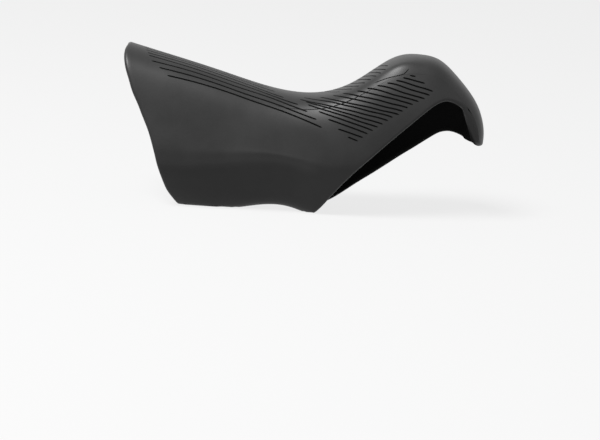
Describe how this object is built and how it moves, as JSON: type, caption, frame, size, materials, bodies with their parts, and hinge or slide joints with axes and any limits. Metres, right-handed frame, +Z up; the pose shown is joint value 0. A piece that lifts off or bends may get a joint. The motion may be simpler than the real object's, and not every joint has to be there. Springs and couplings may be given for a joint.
{
  "type": "brake lever hood",
  "caption": "Moulded rubber hood that slips over a drop-bar brake lever bracket: open clamp end at the rear, grooved top, raised horn and an open front for the lever.",
  "frame": {"origin": "the middle of the hood's box seen from above, on the surface that its underside stands on", "axes": "+X along the hood from the open clamp end to the horn, +Z up, -Y on the outer side that the picture shows, so +Y on the inner side whose wall is cut lower at the lever opening"},
  "size_m": [0.12, 0.0356, 0.0537],
  "materials": {
    "rubber": "matte dark grey moulded rubber with a faint fine texture"
  },
  "bodies": {
    "root": {"hood": "rubber"}
  },
  "joints": []
}
